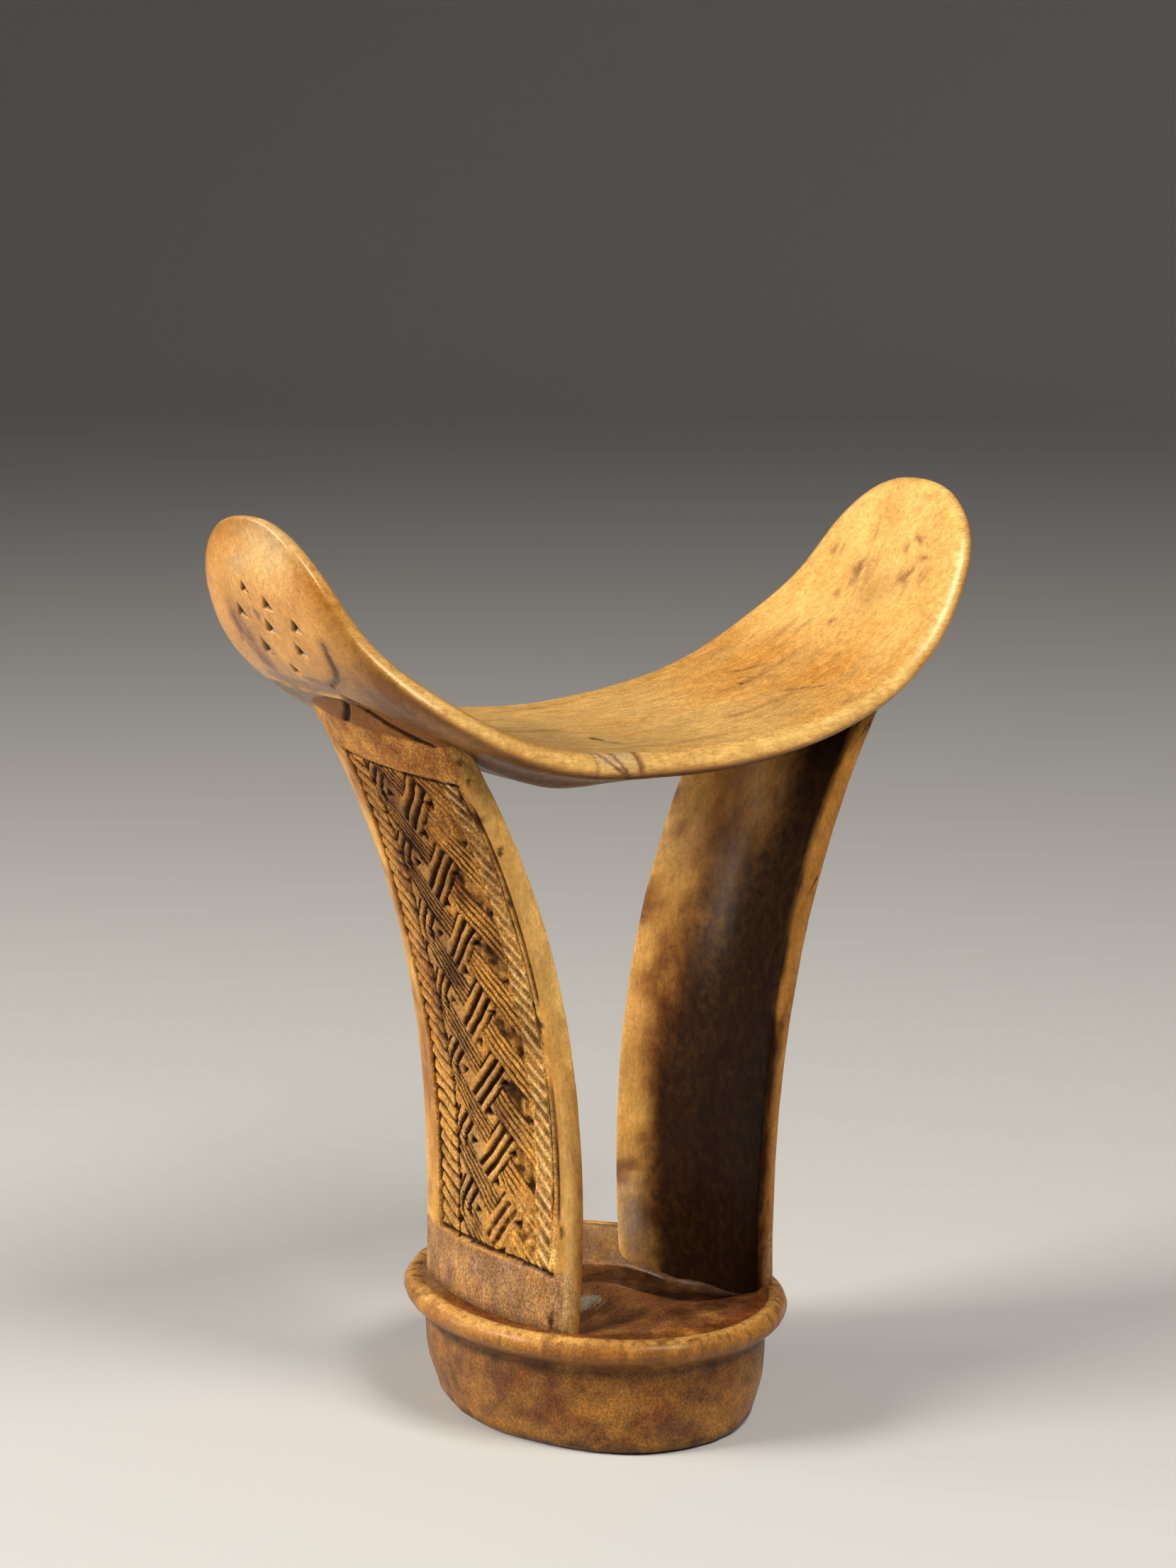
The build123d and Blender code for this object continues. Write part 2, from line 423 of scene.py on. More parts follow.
def rest_relief(s, y, lift):
    """Moves the surface of the rest in and out, and says how each point is coloured."""
    where = column(s, y, lift)
    level = lift
    taper = 1 - np.sqrt(1 - np.clip((-84 - s) / 16.5, 0, 0.96) ** 2)
    lift = np.where(lift < EDGE_LIFT, EDGE_LIFT + (lift - EDGE_LIFT) * (1 - 0.85 * taper), lift)
    top = ramp(1.6, 2.5, lift)
    under = ramp(0.3, 2.5, -lift)
    edge = (1 - top) * (1 - under)
    x = np.interp(s, LINE_S, LINE_X)
    arch = BELLY_DROP + BELLY_ARCH * np.exp(-(((np.abs(x) - BELLY_ARCH_X) / BELLY_ARCH_SPREAD) ** 2))
    inside = 1 - ramp(BELLY_HALF_WIDTH - 2.5, BELLY_HALF_WIDTH + 3.5, np.abs(y))
    reach = 1 - ramp(40, 50, np.abs(x))
    lift = lift - under * arch * inside * reach
    crown = 1.3 * (1 - (y / 26) ** 2) * window(s, -101, -88, -75, -58)
    lift = lift - under * np.clip(crown, 0, None)
    lift = lift + top * (0.15 * fractal(where, (16, 11, 30), 5) + 0.03 * noise(where, 3.2, 6))
    lift = lift - under * (0.16 * fractal(where, (13, 9, 30), 8) + 0.05 * noise(where, (6, 2.6, 9), 9))
    lift = lift + edge * 0.1 * noise(where, (9, 5, 4), 10)

    # under the left end: chip carving, a crack, and the ridge and crease over the post
    chips = np.max([chip(s, y, row[:2], row[2]) for row in CHIPS], axis=0)
    bent = 0.35 * noise(where, 2.6, 18)
    crack = polyline(s + bent, y + bent, CRACK, 1.1)
    crack_halo = polyline(s, y, CRACK, 3.4)
    # the wedge ridge is painted pale as a painted highlight, and the shade line beside it is painted shade
    ridge = polyline(s, y + bent, WEDGE_LINE, 1.0)
    shade = polyline(s, y, WEDGE_SHADE, 4.0)
    fold = polyline(s, y, FOLD, 1.6)
    lift = lift + under * (1.3 * chips + 0.3 * crack - 0.3 * ridge + 0.9 * fold)

    # on top: a square punch mark, an open knot, checks and a nick in the back edge
    punch_reach = np.maximum(np.abs(s - PUNCH[0]), np.abs(y - PUNCH[1]))
    punch = ramp(1.15, 0.8, punch_reach)
    eye_reach = np.hypot((s - EYE[0] + 0.25 * np.sin(y)) / EYE_HALF[0], (y - EYE[1]) / EYE_HALF[1])
    eye = ramp(1.1, 0.8, eye_reach)
    eye_rim = window(eye_reach, 0.45, 0.8, 1.0, 1.3) * unit(0.7 + noise(where, 1.5, 19))
    checks = np.max([polyline(s + bent, y + bent, line, 0.7) for line in CHECKS], axis=0)
    nick = blob(s, y, NICK, (1.3, 1.6))
    lift = lift - top * (0.3 * punch + 0.3 * eye + 0.15 * checks + 0.5 * nick)

    # the knot that the front edge cuts through: two swirled lines between a thin and a broad stripe
    front = ramp(-26.5, -28.5, y) * (1 - under)
    knot = front * window(s, KNOT_LEFT - 0.3, KNOT_LEFT + 0.3, KNOT_RIGHT - 1.5, KNOT_RIGHT)
    swirls = stroke(s + 23.6 - (2.4 - level) * 1.35, 1.3) + stroke(s + 20.5 - (2.2 - level) * 0.7, 1.2)
    stripes = 0.6 * stroke(s - KNOT_LEFT, 0.9) + stroke(s - KNOT_RIGHT, 1.6)

    streak = fractal(where, (26, 1.9, 30), 71)
    broad = fractal(where, (40, 6.0, 30), 75)
    cloud = fractal(where, (15, 9, 30), 72)
    speck = noise(where, (3.2, 1.7, 9), 73)
    fleck = noise(where, (1.6, 0.7, 2), 74)
    striae = noise(where, (0.9, 9, 9), 76)
    right_end = ramp(46, 72, s)
    left_end = under * ramp(-50, -66, s)
    middle = window(s, -46, -30, 40, 70)
    # under the rest between the posts: painted shade
    belly_shade = under * window(s, -50, -46, 46, 50)
    spots = blobs(s + 0.8 * speck, y + 0.8 * fleck, RIGHT_SPOTS)
    smudges = blobs(s, y + 0.8 * speck, LEFT_SMUDGES)
    # over the left post: a brown stain with painted shade where the rest meets the post
    shade_and_stain_over_post = blob(s, y, (-62, -21), (12, 12)) * (under + edge * ramp(-0.3, -1.5, level))
    bright_front = window(s, -50, -22, 12, 45) * ramp(50, 10, y)
    # near the left tip: a painted highlight, pale with a painted grey sheen
    tip_highlight = blob(s, y, (-96.5, -5.5), (5.5, 7.5)) * (under + edge)
    facet = (1 - top) * window(s, -64.3, -63.4, -57, -50) * ramp(-9, -5, y)
    worn = 0.14 + 0.16 * unit(streak + 0.2) + 0.3 * (cloud + 0.5 * speck)
    return lift, {
        "pale": 0.12 + 0.2 * cloud + 0.1 * left_end + 0.75 * tip_highlight
        + top * (0.1 + 0.6 * right_end + 0.15 * cloud + 0.12 * middle + 0.55 * bright_front)
        # the upper half of each edge is painted pale: a painted highlight along the arris
        + edge * (0.8 + 0.3 * striae) * ramp(-1.2, 0.6, level) * (0.35 + 0.65 * ramp(-76, -60, s))
        # painted highlight along the wedge ridge
        + 0.75 * ridge * (1 - top) + 0.25 * knot,
        # in the brown: painted shade on the lower half of each edge, and a stain with painted shade over
        # the post
        "brown": shade_and_stain_over_post + 0.9 * facet + 0.65 * edge * ramp(0.3, -1.5, level)
        + top * (0.06 + middle * worn) * (1 - 0.35 * bright_front)
        + 0.35 * top * blob(s, y, (71, -4), (8, 9)) * (0.6 + cloud)
        # painted shade on the underside between the posts and along the wedge, and a stain round the crack
        + under * (0.75 * window(s, -57, -48, 48, 57) + 0.75 * shade + 0.5 * crack_halo)
        + 0.55 * left_end * unit(broad + 0.3 * cloud),
        "stain": 0.75 * spots * top * ramp(-0.5, 0.3, speck + 0.5 * fleck) + 0.3 * top * checks
        + 1.1 * smudges * under * ramp(-0.45, 0.25, speck + 0.4 * fleck)
        + 0.95 * unit(swirls) * knot
        + 0.9 * stripes * front * ramp(6.7, 5.7, np.abs(s + 20.2)),
        "dark": under * (0.98 * ramp(0.05, 0.45, chips) + 0.7 * crack + 0.8 * fold) + 0.55 * belly_shade
        + top * (0.95 * eye_rim + 0.95 * punch * ramp(0.25, 0.6, punch_reach) + 0.3 * checks)
        + 0.45 * facet * (1 - ridge) + 0.4 * shade_and_stain_over_post,
        "grey": 0.3 * tip_highlight + 0.5 * top * eye + 0.35 * knot * ramp(-0.5, 2.0, level)
        + 0.5 * under * blob(s, y, (-92.9, 4.4), (2.0, 3.4)) * (0.7 + 0.6 * fleck),
        "red": 0.35 * shade_and_stain_over_post + 0.6 * belly_shade + 0.25 * top * ramp(0.5, 1.0, streak + cloud * 0.6)
        + 0.6 * edge * ramp(0.0, 0.7, cloud + 0.35 * speck) * ramp(-80, -92, s)
        + 0.35 * left_end * ramp(0.3, 0.9, broad + 0.4 * cloud),
        "grit": 0.08 + 0.25 * top * middle,
        "polish": 0.5 + 0.3 * edge + 0.12 * top + 0.15 * left_end + 0.45 * under * ramp(-86, -94, s)
        - 0.7 * shade_and_stain_over_post - 0.7 * belly_shade,
    }


# ---- posts ----
def post_growth(z, terms):
    """How much a measure of a post has grown at a height."""
    q = (z - POST_REF_Z) / POST_SPAN
    return sum(c * q ** (i + 1) for i, c in enumerate(terms))


def post_edge_x(z):
    """Distance of a post's edge line from the middle plane."""
    return POST_FOOT_X + post_growth(z, POST_FLARE)


def post_half_width(z):
    """Half the front-to-back width of a post."""
    return (POST_FOOT_WIDTH + post_growth(z, POST_WIDENING)) / 2


def outer_x(v, z):
    """X of the outer face; v runs from -1 at the back edge to 1 at the front edge."""
    return post_edge_x(z) + POST_THICKNESS / 2 + POST_BOW * (1 - v * v)


def post_top_z(v, inner):
    """Height at which a face of the post meets the middle of the rest."""
    z = np.full(np.shape(v), SADDLE_Z + 5.0)
    for _ in range(12):
        x = outer_x(v, z) - (POST_THICKNESS if inner else 0)
        z = 0.5 * z + 0.5 * (rest_middle_z(x) - 0.6)
    return z


def cuts(d, places, width):
    """1 in narrow cuts that run at the given distances, 0 between them."""
    nearest = np.min([np.abs(d - place) for place in places], axis=0)
    return 1 - ramp(0.25 * width, 0.75 * width, nearest)


def wander(z, seed, size=9.0, amount=0.5):
    """A line drawn by hand strays a little from its course."""
    return amount * noise(column(0, 0, z), size, seed)


def pit(across, up, size, turned):
    """1 in the deepest corner of a three-cornered pit, 0 outside it."""
    sides = [across * np.cos(turned + t) + up * np.sin(turned + t) for t in (0.0, 2.0, 4.1)]
    return unit(1.7 - 1.7 * np.max(sides, axis=0) / (0.62 * size))


def lace_place(a, z, seed):
    """Place in the interlace: across and up from the lowest crossing, wobbled as a knife wobbles."""
    wobble = column(a, z, 0)
    a = a + 0.3 * noise(wobble, 7.5, seed + 1) + 0.09 * noise(wobble, 2.2, seed + 8)
    z = z + 0.3 * noise(wobble, 7.5, seed + 2) + 0.09 * noise(wobble, 2.2, seed + 9)
    return a - LACE_CENTRE - 1.2 * ((z - 96) / 38.4) ** 2, z - LACE_START_Z


def bar_place(u, h):
    """Height in the nearest repeat, and the places across and along its group of bars."""
    rise = every(h, LACE_PERIOD)
    return rise, rise * LACE_COS - u * LACE_SIN, rise * LACE_COS + u * LACE_SIN


def lace(a, z, seed):
    """The interlace: its depth, the dirt in it, and how light the wood is, from wear and a painted
    highlight on the crests.
    """
    place = column(a, z, 0)
    u, h = lace_place(a, z, seed)
    rise, bar_across, bar_along = bar_place(u, h)
    falling = every(h * LACE_COS + u * LACE_SIN, LACE_GAP)
    rising = every(h * LACE_COS - u * LACE_SIN, LACE_GAP)
    right = ramp(0.5, 2.5, u)

    # down the middle, groups of three round bars lie over everything
    bars = window(bar_across, BAR_LOW - 0.12, BAR_LOW + 0.12, BAR_HIGH - 0.12, BAR_HIGH + 0.12)
    bar_end = np.abs(bar_along) + 0.5 * noise(place, 2.0, seed + 23)
    bars = bars * ramp(BAR_REACH + 0.3, BAR_REACH - 0.1, bar_end)
    bar_cut = cuts(bar_across, BAR_CUTS, 0.92) * unit(0.98 + 0.35 * noise(place, 5, seed + 12))
    # falling strands: finely scored on the left, three broad bands on the right
    offset = falling - 0.8 + 1.1 * right
    strand = ramp(2.75, 2.45, np.abs(offset))
    broad = cuts(offset, BROAD_CUTS, 0.5) * unit(0.75 + 0.5 * noise(place, 4.5, seed + 14))
    scores = stroke(every(h * LACE_COS + u * LACE_SIN, SCORE_PITCH), 0.75) * (1 - right)
    strand_depth = 0.06 * noise(place, 1.4, seed + 24) - 0.36 - (0.1 + 0.26 * broad) * right - 0.2 * scores
    # rising strands show between them; on the right they are worn to rough facets
    under_cut = cuts(rising, BAR_CUTS, 0.85) * (1 - right)
    facets = np.abs(noise(place, (2.2, 2.6, 9), seed + 15)) + 0.5 * noise(place, 1.1, seed + 16)
    under_depth = (-0.2 - 0.8 * under_cut) * (1 - right) - (0.45 + 0.35 * facets) * right
    rims = stroke(np.abs(offset) - 2.65, 0.45) * (0.5 + 0.4 * noise(place, 3, seed + 25))

    depth = mix(mix(under_depth, strand_depth, strand), -0.04 - 0.98 * bar_cut, bars)
    dirt = mix(under_cut + (0.25 + 0.35 * facets) * right, 0.85 * broad * right + 0.35 * scores, strand)
    dirt = mix(dirt + 0.5 * rims, bar_cut, bars)
    # lightness of the raised strands and bars: wear with a painted highlight on them
    light = mix((1 - right) * (1 - under_cut) * 0.55, 0.1 * right + 0.2 * broad, strand)
    light = mix(light, (1 - bar_cut) * 0.8, bars)
    # beside each group of bars: a shallow cut, with painted shade put into the dirt
    beside = 0.8 * stroke(bar_across - BAR_LOW + 0.2, 0.6) * (0.5 + 0.5 * noise(place, 3, seed + 26))
    beside = np.maximum(stroke(bar_across - BAR_HIGH - 0.2, 0.75) * ramp(-1.0, 1.5, bar_along), beside)
    beside = beside * ramp(BAR_REACH + 0.4, BAR_REACH - 0.2, np.abs(bar_along))
    depth, dirt = depth - 0.3 * beside, np.maximum(dirt, 0.9 * beside)

    # at the left border the rising bars turn round into the falling strand
    loop = LACE_GAP - np.abs(u) * LACE_SIN - np.sqrt(rise ** 2 + BORDER_LOOP ** 2) * LACE_COS + 0.35
    loop_cut = cuts(loop, LOOP_CUTS, 0.8)
    at_border = ramp(8.4, 8.9, -u) * ramp(-2.2, -1.0, rise)
    depth = mix(depth, np.where(loop < -3.1, -0.5, -0.12 - 0.75 * loop_cut), at_border)
    dirt = mix(dirt, 0.95 * loop_cut, at_border)
    light = mix(light, 0.6 * (1 - loop_cut), at_border)

    # the lowest right corner is worn to rough facets
    low = ramp(-7.0, -10.0, h - 0.25 * u) * ramp(-6.5, -3.0, u) * 0.55
    low = np.maximum(low, 0.75 * blob(u, h, (7.5, 66), (4.0, 3.5)))
    low = np.maximum(low, 0.45 * ramp(8.8, 10.2, u))
    depth = mix(depth, -0.16 - 0.3 * facets, low)
    dirt, light = mix(dirt, 0.4 * facets, low), light * (1 - low)

    pits = np.zeros_like(u)
    for across, up, size, turned in FIELD_PITS:
        step = np.round((h - up) / LACE_PERIOD)
        grown = size * (1 + 0.2 * np.sin(3.1 * step + across))
        turned = turned + 0.4 * np.sin(2.3 * step)
        pits = np.maximum(pits, pit(u - across, h - up - step * LACE_PERIOD, grown, turned))
    pits = pits * (1 - 0.6 * low)
    return mix(depth, -1.4, pits), np.maximum(dirt, pits), light * (1 - pits)


def strip_between(a, left, right):
    """1 between two lines down the face."""
    return ramp(0, 0.3, a - left) * ramp(0, 0.3, right - a)


def carving(a, z, seed):
    """Depth of a post's outer face in millimetres, the dirt in it and how light the wood is, from wear and
    a painted highlight on crests and ridges.

    The back edge is at a = 0.
    """
    first_line = hermite(*FIRST_LINE, z) + wander(z, seed + 3, 7, 0.25)
    second_line = hermite(*SECOND_LINE, z) + wander(z, seed + 4, 6, 0.25)
    third_line = THIRD_LINE_A + wander(z, seed + 5, 7, 0.45)
    fourth_line = hermite(*FOURTH_LINE, z) + wander(z, seed + 6, 12, 0.2)
    low = FIELD_LOW_Z - 0.002 * (a - 20) ** 2 * np.where(a > 20, 2.0, 1.0)
    high = FIELD_HIGH_Z + 1.2 - 0.075 * (a - 13)
    in_rows = ramp(0, 0.7, z - low) * ramp(0, 0.7, high - z)
    place = column(a, z, 0)
    ragged = noise(place, 1.6, seed + 18)

    in_field = strip_between(a, second_line, third_line)
    depth, dirt, light = (in_field * part for part in lace(a, z, seed))

    in_left = strip_between(a, first_line, second_line)
    slope = LEFT_HATCH_SLOPE + 0.12 * noise(place, 9, seed + 10)
    slant = z + slope * (a - first_line) + 0.4 * noise(place, 4, seed + 7)
    saw = slant / LEFT_HATCH_PITCH - np.floor(slant / LEFT_HATCH_PITCH)
    hatch = stroke(every(slant, LEFT_HATCH_PITCH), 1.3)
    hatch = hatch * unit(0.85 + 0.5 * noise(place, 3.3, seed + 19))
    depth -= in_left * (0.06 + 0.42 * hatch + 0.4 * saw)
    dirt += in_left * 0.9 * hatch
    # the high side of each hatch stroke is painted lighter: a painted highlight
    light += in_left * ramp(0.75, 0.4, saw) * (1 - hatch) * unit(0.7 + ragged)

    in_right = strip_between(a, third_line, fourth_line)
    slant = z + RIGHT_HATCH_SLOPE * (a - third_line) + 0.3 * noise(place, 5, seed + 20)
    ridge = ramp(0.8, 0.5, np.abs(every(slant, RIGHT_HATCH_PITCH)))
    ridge = ridge * unit(0.8 + 0.6 * noise(place, 3.1, seed + 27))
    depth -= in_right * (0.52 - 0.5 * ridge)
    dirt += in_right * 0.34 * (1 - ridge)
    # the ridges of the right hatch are painted lighter: a painted highlight
    light += in_right * ridge

    first_cut = stroke(a - first_line, 0.85 + 0.25 * ragged) * (0.65 + 0.45 * ramp(112, 70, z))
    second_cut = stroke(a - second_line, 1.05 + 0.35 * ragged)
    fourth_cut = stroke(a - fourth_line - 0.2, 0.5) * ramp(36, 50, z)
    fifth_cut = stroke(a - fourth_line - 1.35, 0.5) * ramp(38, 50, z)
    depth -= 0.7 * first_cut + 0.85 * second_cut + 0.22 * stroke(a - third_line, 0.6)
    depth -= 0.4 * fourth_cut + 0.45 * fifth_cut
    dirt += 0.8 * first_cut + 0.95 * second_cut + 0.45 * fourth_cut + 0.6 * fifth_cut

    inner = ramp(first_line - 0.8, first_line, a) * ramp(42.9, 42.2, a)
    grit = 0.1 * noise(place, 0.9, seed + 21) + 0.08 * fractal(place, 2.6, seed + 22)
    frame_lines = (stroke(z - low, 0.8) + 0.6 * stroke(z - high, 0.6)) * inner
    frame_cuts = (stroke(z - low - 0.9, 0.8) + 0.7 * stroke(z - high + 0.8, 0.6)) * inner
    depth = in_rows * (depth + inner * (grit - 0.16)) + 0.16 * frame_lines - 0.35 * frame_cuts
    dirt = dirt * in_rows + 0.7 * frame_cuts
    # raised frame lines painted lighter: wear with a painted highlight
    light = light * in_rows + 0.9 * frame_lines

    # the smooth collar under the rest, with a slot in it and a crease above
    above = z - collar_low(a)
    collar = ramp(-0.25, 0.25, above)
    slot = polyline(a, z, COLLAR_SLOT, 1.3) * collar
    crease = polyline(a, z, COLLAR_CREASE, 1.1)
    depth += 0.3 * collar - 0.8 * slot - 0.5 * crease - 0.12 * stroke(above + 0.5, 0.8)
    return depth, unit(dirt + 0.9 * slot + 0.85 * crease), light


def collar_low(a):
    """Height of the collar's lower edge."""
    return COLLAR_Z + COLLAR_SLOPE * (a - 20)


def face_places(count):
    """Places across the outer face, closer together where it is carved most finely."""
    a = np.linspace(0, FACE_WIDTH, 2001)
    density = 1 + 1.5 * window(a, 4, 7, 43.1, 43.6) + ramp(15, 16, a) - ramp(39, 41, a)
    return spread(a, density[1:], count) / FACE_WIDTH * 2 - 1


def post_rows():
    """Shares of the way up a post, closer together where it is carved."""
    share = np.linspace(0, 1, 2001)
    density = 1 + 2.4 * window(share, 0.1, 0.13, 0.95, 0.975)
    return spread(share, density[1:], POST_ROWS)


def post_piece(name, side, node, material, seed):
    """One post: side is -1 for the left post and 1 for the right one."""
    ratio, inner_steps, corner_steps = 5, 38, 3
    outer_count = ratio * inner_steps + 1
    inner_count = inner_steps + 1
    edge_share = 1 - POST_EDGE_ROUND / (POST_FOOT_WIDTH / 2)
    corner = (np.arange(corner_steps) + 1) / (corner_steps + 1) * math.pi / 2
    # each point of a ring: share across, rounding from the face, share from the outer to the inner face
    v_corner = edge_share + (1 - edge_share) * np.sin(corner)
    cut = POST_EDGE_ROUND * (1 - np.cos(corner))
    outer_v = face_places(outer_count) * edge_share
    inner_v = outer_v[::-ratio]
    front_v = np.concatenate([v_corner, [1, 1], v_corner[::-1]])
    round_cut = np.concatenate([cut, [POST_EDGE_ROUND] * 2, cut[::-1]])
    v = np.concatenate([outer_v, front_v, inner_v, -front_v])
    faces_in = np.concatenate([
        np.zeros(outer_count), np.repeat([0, 1], corner_steps + 1),
        np.ones(inner_count), np.repeat([1, 0], corner_steps + 1),
    ])
    round_all = np.concatenate([np.zeros(outer_count), round_cut, np.zeros(inner_count), round_cut])
    inner_side = faces_in > 0.5
    top = np.where(inner_side, post_top_z(v, True), post_top_z(v, False))
    rows = post_rows()
    root = np.where(inner_side, INNER_ROOT_Z, OUTER_ROOT_Z)
    z = root + rows[:, None] * (top - root)
    v2 = np.broadcast_to(v, z.shape).ravel()
    inner_flag = np.broadcast_to(inner_side, z.shape).ravel()
    cut_in = np.broadcast_to(round_all, z.shape).ravel()
    z = z.ravel()
    y = -v2 * post_half_width(z)
    x_out = outer_x(v2, z)
    x = np.where(inner_flag, x_out - POST_THICKNESS + cut_in, x_out - cut_in)
    a = (v2 + 1) / 2 * FACE_WIDTH
    outer = (~inner_flag) * ramp(1.05, 0.0, cut_in)
    relief, dirt, light = (outer * part for part in carving(a, z, seed))
    where = column(x, y, z)
    hand = 0.16 * fractal(where + seed * 31, (9, 9, 22), seed + 11)
    worn_edge = 0.25 * fractal(where + seed * 57, (5, 5, 14), seed + 12) * ramp(0.93, 1.0, np.abs(v2))
    direction = np.where(inner_flag, -1.0, 1.0)
    lean = 2 * POST_BOW * v2 / post_half_width(z)
    length = np.hypot(1, lean)
    push = relief + hand
    x = x + direction * push / length
    y = y - direction * push * lean / length + np.sign(v2) * np.abs(worn_edge)
    points = column(side * (x + POST_SHIFTS[side]), y, z)
    around = len(v)
    faces = tube_quads(len(rows), around)
    for first, turned in ((0, True), ((len(rows) - 1) * around, False)):
        cap = post_cap(first, outer_count, inner_count, ratio, around)
        faces += [face[::-1] for face in cap] if turned else cap
    if side > 0:
        faces = [face[::-1] for face in faces]
    masks = post_masks(a, v2, z, relief, dirt, light, inner_flag * 1.0, side > 0, where, seed)
    masks.update(score_masks(a, z, outer, seed))
    return make_piece(name, points, faces, node, material, masks)


def score_masks(a, z, outer, seed):
    """Where the falling strands are finely scored, and the place across those lines, counted in lines."""
    u, h = lace_place(a, z, seed)
    across = h * LACE_COS + u * LACE_SIN
    _, bar_across, bar_along = bar_place(u, h)
    in_bars = (BAR_LOW < bar_across) & (bar_across < BAR_HIGH) & (np.abs(bar_along) < BAR_REACH)
    in_field = window(u, -11.5, -10.5, 0.5, 2.0) * ramp(FIELD_LOW_Z + 5, FIELD_LOW_Z + 7, z)
    on_strand = ramp(2.9, 2.5, np.abs(every(across, LACE_GAP) - 0.8)) * (z < FIELD_HIGH_Z)
    return {"score": outer * in_field * on_strand * (1 - in_bars), "score_line": across / SCORE_PITCH}


